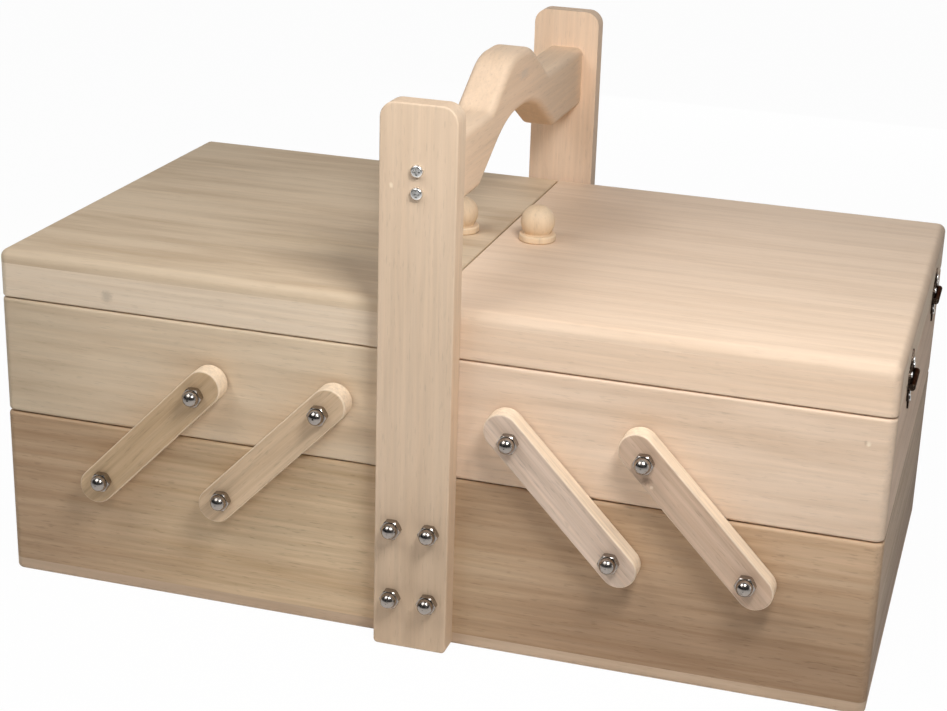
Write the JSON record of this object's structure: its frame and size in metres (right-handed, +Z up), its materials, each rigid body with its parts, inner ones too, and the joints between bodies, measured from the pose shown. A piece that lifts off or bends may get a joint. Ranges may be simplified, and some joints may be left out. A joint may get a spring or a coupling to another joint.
{
  "type": "cantilever sewing box",
  "caption": "Wooden cantilever sewing box: wide bottom box, swing-out upper trays on link arms, each with a hinged lid and a knob, and a bow handle between upright posts.",
  "frame": {"origin": "centre of the footprint, on the surface that the box stands on", "axes": "+X to the right along the width, +Y to the back, +Z up; the front is at -Y"},
  "size_m": [0.4068, 0.2552, 0.246],
  "materials": {
    "pale_board_wood": "raw, fine sanded, straight grain along each board",
    "base_board_wood": "raw, fine sanded, a little browner",
    "floor_panel_wood": "raw thin panel",
    "post_wood": "raw, sanded, rounded edges",
    "arm_wood": "raw, greyer, rounded ends",
    "turned_wood": "raw, lathe turned",
    "nickel_nuts": "bright nickel plate",
    "zinc_bolts": "zinc plate",
    "antique_hinges": "dark antique bronze",
    "bright_screws": "bright steel"
  },
  "bodies": {
    "base": {"base_floor": "floor_panel_wood", "base_front_board": "base_board_wood", "base_back_board": "base_board_wood", "base_left_board": "base_board_wood", "base_right_board": "base_board_wood", "front_post": "post_wood", "back_post": "post_wood", "handle": "post_wood", "handle_screws": "bright_screws", "post_bolts": "zinc_bolts", "post_cap_nuts": "nickel_nuts", "lower_pivot_bolts": "zinc_bolts", "lower_pivot_nuts": "nickel_nuts"},
    "left_front_inner_arm": {"left_front_inner_arm": "arm_wood"},
    "left_front_outer_arm": {"left_front_outer_arm": "arm_wood"},
    "left_back_inner_arm": {"left_back_inner_arm": "arm_wood"},
    "left_back_outer_arm": {"left_back_outer_arm": "arm_wood"},
    "left_tray": {"left_tray_front_board": "pale_board_wood", "left_tray_back_board": "pale_board_wood", "left_tray_inner_board": "pale_board_wood", "left_tray_outer_board": "pale_board_wood", "left_tray_floor": "floor_panel_wood", "left_upper_pivot_bolts": "zinc_bolts", "left_upper_pivot_nuts": "nickel_nuts", "left_hinge_tray_leaves": "antique_hinges", "left_hinge_pins": "antique_hinges", "left_hinge_tray_screws": "bright_screws"},
    "left_lid": {"left_lid_panel": "pale_board_wood", "left_lid_front_rim": "pale_board_wood", "left_lid_back_rim": "pale_board_wood", "left_lid_inner_rim": "pale_board_wood", "left_lid_outer_rim": "pale_board_wood", "left_knob": "turned_wood", "left_knob_screw": "bright_screws", "left_hinge_lid_leaves": "antique_hinges", "left_hinge_lid_screws": "bright_screws"},
    "right_front_inner_arm": {"right_front_inner_arm": "arm_wood"},
    "right_front_outer_arm": {"right_front_outer_arm": "arm_wood"},
    "right_back_inner_arm": {"right_back_inner_arm": "arm_wood"},
    "right_back_outer_arm": {"right_back_outer_arm": "arm_wood"},
    "right_tray": {"right_tray_front_board": "pale_board_wood", "right_tray_back_board": "pale_board_wood", "right_tray_inner_board": "pale_board_wood", "right_tray_outer_board": "pale_board_wood", "right_tray_floor": "floor_panel_wood", "right_upper_pivot_bolts": "zinc_bolts", "right_upper_pivot_nuts": "nickel_nuts", "right_hinge_tray_leaves": "antique_hinges", "right_hinge_pins": "antique_hinges", "right_hinge_tray_screws": "bright_screws"},
    "right_lid": {"right_lid_panel": "pale_board_wood", "right_lid_front_rim": "pale_board_wood", "right_lid_back_rim": "pale_board_wood", "right_lid_inner_rim": "pale_board_wood", "right_lid_outer_rim": "pale_board_wood", "right_knob": "turned_wood", "right_knob_screw": "bright_screws", "right_hinge_lid_leaves": "antique_hinges", "right_hinge_lid_screws": "bright_screws"}
  },
  "joints": [
    {"name": "left_front_inner_arm_swing", "type": "hinge", "parent": "base", "child": "left_front_inner_arm", "pos_m": [-0.0885, -0.1152, 0.058], "axis": [0, -1, 0], "range_deg": [0, 88]},
    {"name": "left_front_outer_arm_swing", "type": "hinge", "parent": "base", "child": "left_front_outer_arm", "pos_m": [-0.14675, -0.1152, 0.058], "axis": [0, -1, 0], "range_deg": [0, 88]},
    {"name": "left_back_inner_arm_swing", "type": "hinge", "parent": "base", "child": "left_back_inner_arm", "pos_m": [-0.0885, 0.1152, 0.058], "axis": [0, -1, 0], "range_deg": [0, 88]},
    {"name": "left_back_outer_arm_swing", "type": "hinge", "parent": "base", "child": "left_back_outer_arm", "pos_m": [-0.14675, 0.1152, 0.058], "axis": [0, -1, 0], "range_deg": [0, 88]},
    {"name": "left_tray_pivot", "type": "hinge", "parent": "left_front_inner_arm", "child": "left_tray", "pos_m": [-0.0425, -0.1152, 0.1056], "axis": [0, -1, 0], "range_deg": [-88, 0]},
    {"name": "left_lid_hinge", "type": "hinge", "parent": "left_tray", "child": "left_lid", "pos_m": [-0.2019, 0, 0.1352], "axis": [0, -1, 0], "range_deg": [0, 180]},
    {"name": "right_front_inner_arm_swing", "type": "hinge", "parent": "base", "child": "right_front_inner_arm", "pos_m": [0.0885, -0.1152, 0.058], "axis": [0, 1, 0], "range_deg": [0, 88]},
    {"name": "right_front_outer_arm_swing", "type": "hinge", "parent": "base", "child": "right_front_outer_arm", "pos_m": [0.14675, -0.1152, 0.058], "axis": [0, 1, 0], "range_deg": [0, 88]},
    {"name": "right_back_inner_arm_swing", "type": "hinge", "parent": "base", "child": "right_back_inner_arm", "pos_m": [0.0885, 0.1152, 0.058], "axis": [0, 1, 0], "range_deg": [0, 88]},
    {"name": "right_back_outer_arm_swing", "type": "hinge", "parent": "base", "child": "right_back_outer_arm", "pos_m": [0.14675, 0.1152, 0.058], "axis": [0, 1, 0], "range_deg": [0, 88]},
    {"name": "right_tray_pivot", "type": "hinge", "parent": "right_front_inner_arm", "child": "right_tray", "pos_m": [0.0425, -0.1152, 0.1056], "axis": [0, 1, 0], "range_deg": [-88, 0]},
    {"name": "right_lid_hinge", "type": "hinge", "parent": "right_tray", "child": "right_lid", "pos_m": [0.2019, 0, 0.1352], "axis": [0, 1, 0], "range_deg": [0, 180]}
  ],
  "couplings": [
    {"joint": "left_front_outer_arm_swing", "follows": "left_front_inner_arm_swing", "ratio": 1},
    {"joint": "left_back_inner_arm_swing", "follows": "left_front_inner_arm_swing", "ratio": 1},
    {"joint": "left_back_outer_arm_swing", "follows": "left_front_inner_arm_swing", "ratio": 1},
    {"joint": "left_tray_pivot", "follows": "left_front_inner_arm_swing", "ratio": -1},
    {"joint": "right_front_outer_arm_swing", "follows": "right_front_inner_arm_swing", "ratio": 1},
    {"joint": "right_back_inner_arm_swing", "follows": "right_front_inner_arm_swing", "ratio": 1},
    {"joint": "right_back_outer_arm_swing", "follows": "right_front_inner_arm_swing", "ratio": 1},
    {"joint": "right_tray_pivot", "follows": "right_front_inner_arm_swing", "ratio": -1}
  ]
}
